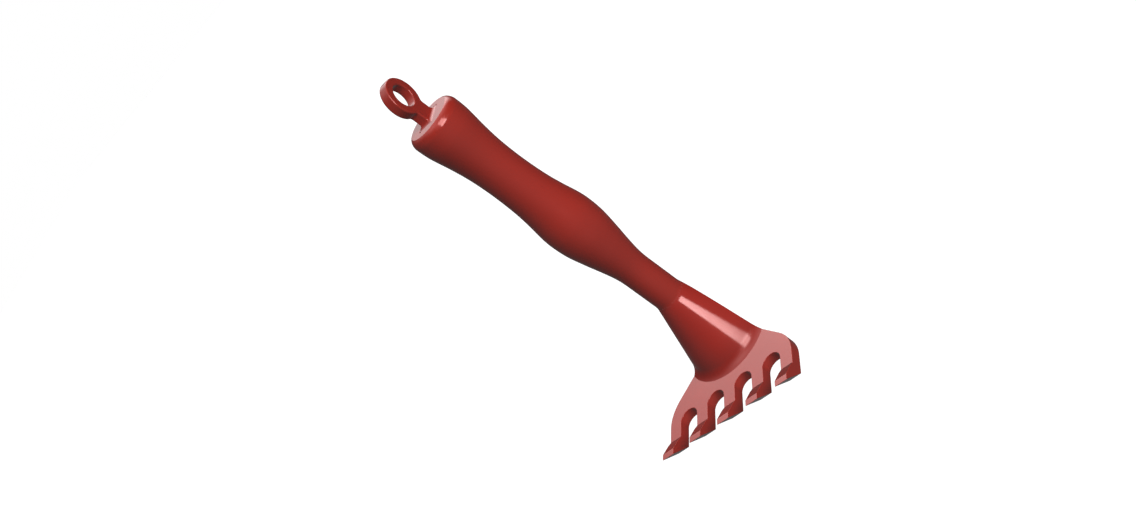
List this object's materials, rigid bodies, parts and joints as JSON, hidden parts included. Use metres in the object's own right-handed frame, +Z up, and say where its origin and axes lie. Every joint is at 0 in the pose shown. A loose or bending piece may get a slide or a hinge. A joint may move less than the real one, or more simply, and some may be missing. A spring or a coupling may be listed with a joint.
{
  "type": "uncapping fork",
  "caption": "Beekeeping uncapping fork: a flat fan head with hooked claws on a turned handle with a hanging eye.",
  "frame": {"origin": "where the handle's axis meets the flat back face of the head plate", "axes": "+Z up the handle's axis to the hanging eye, X along the row of claws, claws pointing to -Y"},
  "size_m": [0.0748, 0.0702, 0.207],
  "materials": {
    "red_plastic": "gloss",
    "steel": "satin",
    "brass": "satin"
  },
  "bodies": {
    "root": {"fork_plate": "red_plastic", "socket_cone": "red_plastic", "grip": "red_plastic", "hanging_eye": "red_plastic", "through_bolt": "steel", "bolt_washer": "steel", "eye_insert": "brass", "plate_screw_1": "steel", "plate_screw_2": "steel", "plate_screw_3": "steel", "screw_insert_1": "brass", "screw_insert_2": "brass", "screw_insert_3": "brass"}
  },
  "joints": []
}
